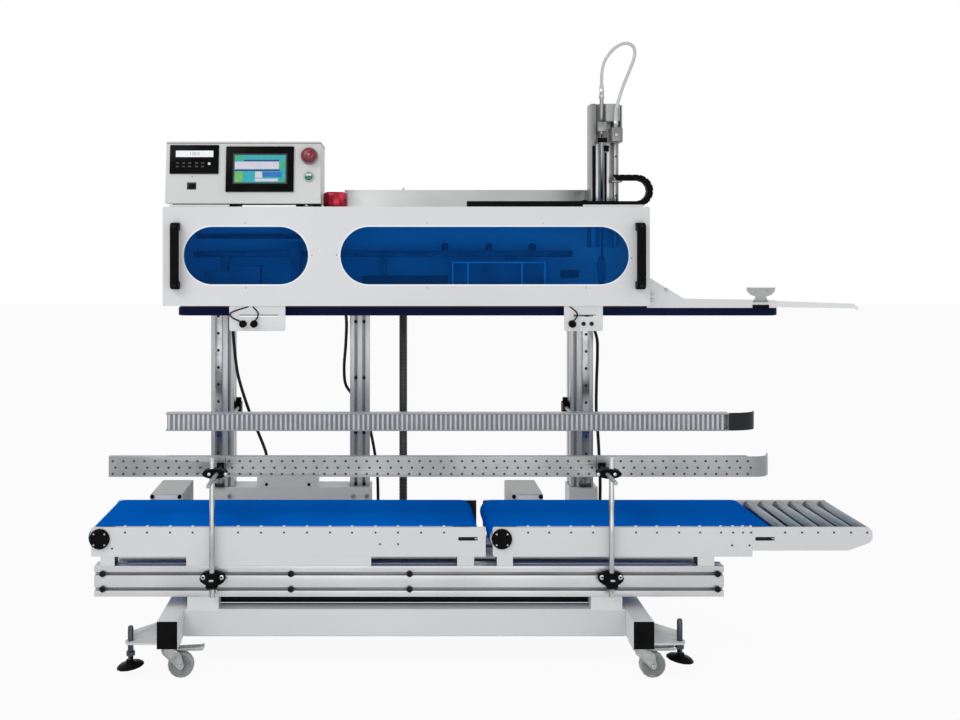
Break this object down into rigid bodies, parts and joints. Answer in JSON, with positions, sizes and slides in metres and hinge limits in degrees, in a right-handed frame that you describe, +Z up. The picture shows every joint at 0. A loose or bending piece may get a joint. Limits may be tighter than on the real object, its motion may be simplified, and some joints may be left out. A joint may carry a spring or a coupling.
{
  "type": "vertical vacuum sealer",
  "caption": "Vertical vacuum bag sealer on a wheeled frame: belt conveyors, a roller table, guide rails and a height-adjustable sealing head on columns.",
  "frame": {"origin": "centre of the footprint, on the floor under the wheels", "axes": "+X runs along the conveyors to the roller table, +Y from the operator's side to the columns, +Z up"},
  "size_m": [2.31, 0.95, 1.8636],
  "materials": {
    "white_paint": "satin powder coat, off-white",
    "anodised_aluminium": "clear anodised extrusion",
    "dark_steel": "blackened and oiled",
    "blue_belt": "smooth blue belt cover",
    "bright_steel": "ground and plated",
    "black_steel": "black oxide and moulded pad",
    "zinc_plate": "zinc plated",
    "pale_rubber": "grey non-marking tread",
    "perforated_steel": "polished sheet",
    "roller_grey": "small grey rollers in a steel channel",
    "blue_glass": "blue tinted clear sheet",
    "black_plastic": "moulded",
    "pale_paint": "light grey powder coat",
    "black_gloss": "gloss bezel",
    "red_plastic": "dark red moulding",
    "green_plastic": "moulded",
    "clear_hose": "translucent tube",
    "navy_belt": "dark blue gripping belt",
    "black_cable": "black sheath"
  },
  "bodies": {
    "machine": {"base_frame": "white_paint", "bed_rail_front": "anodised_aluminium", "bed_rail_rear": "anodised_aluminium", "column_left": "anodised_aluminium", "column_middle": "anodised_aluminium", "column_right": "anodised_aluminium", "lift_screw": "dark_steel", "conveyor_frame_left": "white_paint", "conveyor_frame_right": "white_paint", "conveyor_belt_left": "blue_belt", "conveyor_belt_right": "blue_belt", "roller_table_frame": "white_paint", "guide_post_left": "bright_steel", "guide_post_right": "bright_steel", "cable_left": "black_cable", "cable_middle": "black_cable", "cable_right": "black_cable"},
    "head": {"head_housing": "white_paint", "control_box": "pale_paint", "touch_screen": "black_gloss", "seal_unit": "dark_steel", "gripping_belt_front": "navy_belt", "gripping_belt_rear": "navy_belt", "infeed_guide": "white_paint", "drag_chain": "black_plastic"},
    "cover": {"front_cover": "white_paint", "cover_window": "blue_glass", "cover_handle_left": "black_plastic", "cover_handle_right": "black_plastic"},
    "carriage": {"nozzle_column": "anodised_aluminium", "vacuum_hose": "clear_hose"},
    "nozzle_tube": {"nozzle": "bright_steel"},
    "front_guide": {"front_guide_rail": "perforated_steel"},
    "rear_guide": {"rear_guide_rail": "roller_grey"},
    "stop_button": {"emergency_stop": "red_plastic"},
    "green_button": {"start_button": "green_plastic"},
    "switch": {"power_switch": "black_plastic"},
    "regulator": {"pressure_knob": "red_plastic"},
    "left_drive": {"drive_drum_left": "bright_steel"},
    "left_idler": {"idler_drum_left": "bright_steel"},
    "right_drive": {"drive_drum_right": "bright_steel"},
    "right_idler": {"idler_drum_right": "bright_steel"},
    "roller_1": {"table_roller_1": "bright_steel"},
    "roller_2": {"table_roller_2": "bright_steel"},
    "roller_3": {"table_roller_3": "bright_steel"},
    "roller_4": {"table_roller_4": "bright_steel"},
    "roller_5": {"table_roller_5": "bright_steel"},
    "roller_6": {"table_roller_6": "bright_steel"},
    "fork_front_left": {"caster_fork_front_left": "zinc_plate"},
    "fork_front_right": {"caster_fork_front_right": "zinc_plate"},
    "fork_rear_left": {"caster_fork_rear_left": "zinc_plate"},
    "fork_rear_right": {"caster_fork_rear_right": "zinc_plate"},
    "wheel_front_left": {"caster_wheel_front_left": "pale_rubber"},
    "wheel_front_right": {"caster_wheel_front_right": "pale_rubber"},
    "wheel_rear_left": {"caster_wheel_rear_left": "pale_rubber"},
    "wheel_rear_right": {"caster_wheel_rear_right": "pale_rubber"},
    "foot_front_left": {"levelling_foot_front_left": "black_steel"},
    "foot_front_right": {"levelling_foot_front_right": "black_steel"},
    "foot_rear_left": {"levelling_foot_rear_left": "black_steel"},
    "foot_rear_right": {"levelling_foot_rear_right": "black_steel"}
  },
  "joints": [
    {"name": "head_lift", "type": "slide", "parent": "machine", "child": "head", "axis": [0, 0, 1], "range_m": [-0.2, 0.05], "deforming": ["cable_left", "cable_middle", "cable_right"]},
    {"name": "cover_hinge", "type": "hinge", "parent": "head", "child": "cover", "pos_m": [-0.215, -0.23275, 1.3627], "axis": [-1, 0, 0], "range_deg": [0, 95]},
    {"name": "nozzle_carriage", "type": "slide", "parent": "head", "child": "carriage", "axis": [1, 0, 0], "range_m": [-0.13, 0]},
    {"name": "nozzle_lift", "type": "slide", "parent": "carriage", "child": "nozzle_tube", "axis": [0, 0, 1], "range_m": [-0.05, 0], "deforming": ["vacuum_hose"]},
    {"name": "front_guide_height", "type": "slide", "parent": "machine", "child": "front_guide", "axis": [0, 0, 1], "range_m": [-0.06, 0.03]},
    {"name": "rear_guide_height", "type": "slide", "parent": "machine", "child": "rear_guide", "axis": [0, 0, 1], "range_m": [-0.08, 0.03]},
    {"name": "stop_press", "type": "slide", "parent": "head", "child": "stop_button", "axis": [0, 0.9913, -0.1318], "range_m": [0, 0.005]},
    {"name": "start_press", "type": "slide", "parent": "head", "child": "green_button", "axis": [0, 0.9913, -0.1318], "range_m": [0, 0.003], "stiffness_N_per_m": 400},
    {"name": "switch_rock", "type": "hinge", "parent": "head", "child": "switch", "pos_m": [-0.859, -0.229, 1.422], "axis": [1, 0, 0], "range_deg": [0, 12]},
    {"name": "regulator_turn", "type": "hinge", "parent": "head", "child": "regulator", "pos_m": [-0.431, -0.16, 1.362], "axis": [0, 0, 1], "range_deg": [-135, 135]},
    {"name": "left_drive_spin", "type": "hinge", "parent": "machine", "child": "left_drive", "pos_m": [-1.1185, -0.13, 0.3815], "axis": [0, 1, 0], "continuous": true},
    {"name": "left_idler_spin", "type": "hinge", "parent": "machine", "child": "left_idler", "pos_m": [-0.035, -0.13, 0.3815], "axis": [0, 1, 0], "continuous": true},
    {"name": "right_drive_spin", "type": "hinge", "parent": "machine", "child": "right_drive", "pos_m": [0.0644, -0.13, 0.3815], "axis": [0, 1, 0], "continuous": true},
    {"name": "right_idler_spin", "type": "hinge", "parent": "machine", "child": "right_idler", "pos_m": [0.839, -0.13, 0.3815], "axis": [0, 1, 0], "continuous": true},
    {"name": "roller_1_spin", "type": "hinge", "parent": "machine", "child": "roller_1", "pos_m": [0.8965, -0.13, 0.3975], "axis": [0, 1, 0], "continuous": true},
    {"name": "roller_2_spin", "type": "hinge", "parent": "machine", "child": "roller_2", "pos_m": [0.9445, -0.13, 0.3975], "axis": [0, 1, 0], "continuous": true},
    {"name": "roller_3_spin", "type": "hinge", "parent": "machine", "child": "roller_3", "pos_m": [0.9925, -0.13, 0.3975], "axis": [0, 1, 0], "continuous": true},
    {"name": "roller_4_spin", "type": "hinge", "parent": "machine", "child": "roller_4", "pos_m": [1.0405, -0.13, 0.3975], "axis": [0, 1, 0], "continuous": true},
    {"name": "roller_5_spin", "type": "hinge", "parent": "machine", "child": "roller_5", "pos_m": [1.0885, -0.13, 0.3975], "axis": [0, 1, 0], "continuous": true},
    {"name": "roller_6_spin", "type": "hinge", "parent": "machine", "child": "roller_6", "pos_m": [1.1365, -0.13, 0.3975], "axis": [0, 1, 0], "continuous": true},
    {"name": "swivel_front_left", "type": "hinge", "parent": "machine", "child": "fork_front_left", "pos_m": [-0.901, -0.347, 0.094], "axis": [0, 0, 1], "continuous": true},
    {"name": "swivel_front_right", "type": "hinge", "parent": "machine", "child": "fork_front_right", "pos_m": [0.459, -0.347, 0.094], "axis": [0, 0, 1], "continuous": true},
    {"name": "swivel_rear_left", "type": "hinge", "parent": "machine", "child": "fork_rear_left", "pos_m": [-0.901, 0.415, 0.094], "axis": [0, 0, 1], "continuous": true},
    {"name": "swivel_rear_right", "type": "hinge", "parent": "machine", "child": "fork_rear_right", "pos_m": [0.459, 0.415, 0.094], "axis": [0, 0, 1], "continuous": true},
    {"name": "wheel_front_left_spin", "type": "hinge", "parent": "fork_front_left", "child": "wheel_front_left", "pos_m": [-0.868, -0.347, 0.0375], "axis": [0, 1, 0], "continuous": true},
    {"name": "wheel_front_right_spin", "type": "hinge", "parent": "fork_front_right", "child": "wheel_front_right", "pos_m": [0.492, -0.347, 0.0375], "axis": [0, 1, 0], "continuous": true},
    {"name": "wheel_rear_left_spin", "type": "hinge", "parent": "fork_rear_left", "child": "wheel_rear_left", "pos_m": [-0.868, 0.415, 0.0375], "axis": [0, 1, 0], "continuous": true},
    {"name": "wheel_rear_right_spin", "type": "hinge", "parent": "fork_rear_right", "child": "wheel_rear_right", "pos_m": [0.492, 0.415, 0.0375], "axis": [0, 1, 0], "continuous": true},
    {"name": "foot_front_left_height", "type": "slide", "parent": "machine", "child": "foot_front_left", "axis": [0, 0, 1], "range_m": [-0.02, 0.02]},
    {"name": "foot_front_right_height", "type": "slide", "parent": "machine", "child": "foot_front_right", "axis": [0, 0, 1], "range_m": [-0.04, 0.005]},
    {"name": "foot_rear_left_height", "type": "slide", "parent": "machine", "child": "foot_rear_left", "axis": [0, 0, 1], "range_m": [-0.02, 0.02]},
    {"name": "foot_rear_right_height", "type": "slide", "parent": "machine", "child": "foot_rear_right", "axis": [0, 0, 1], "range_m": [-0.04, 0.005]}
  ],
  "couplings": [
    {"joint": "left_idler_spin", "follows": "left_drive_spin", "ratio": 1},
    {"joint": "right_idler_spin", "follows": "right_drive_spin", "ratio": 1}
  ]
}
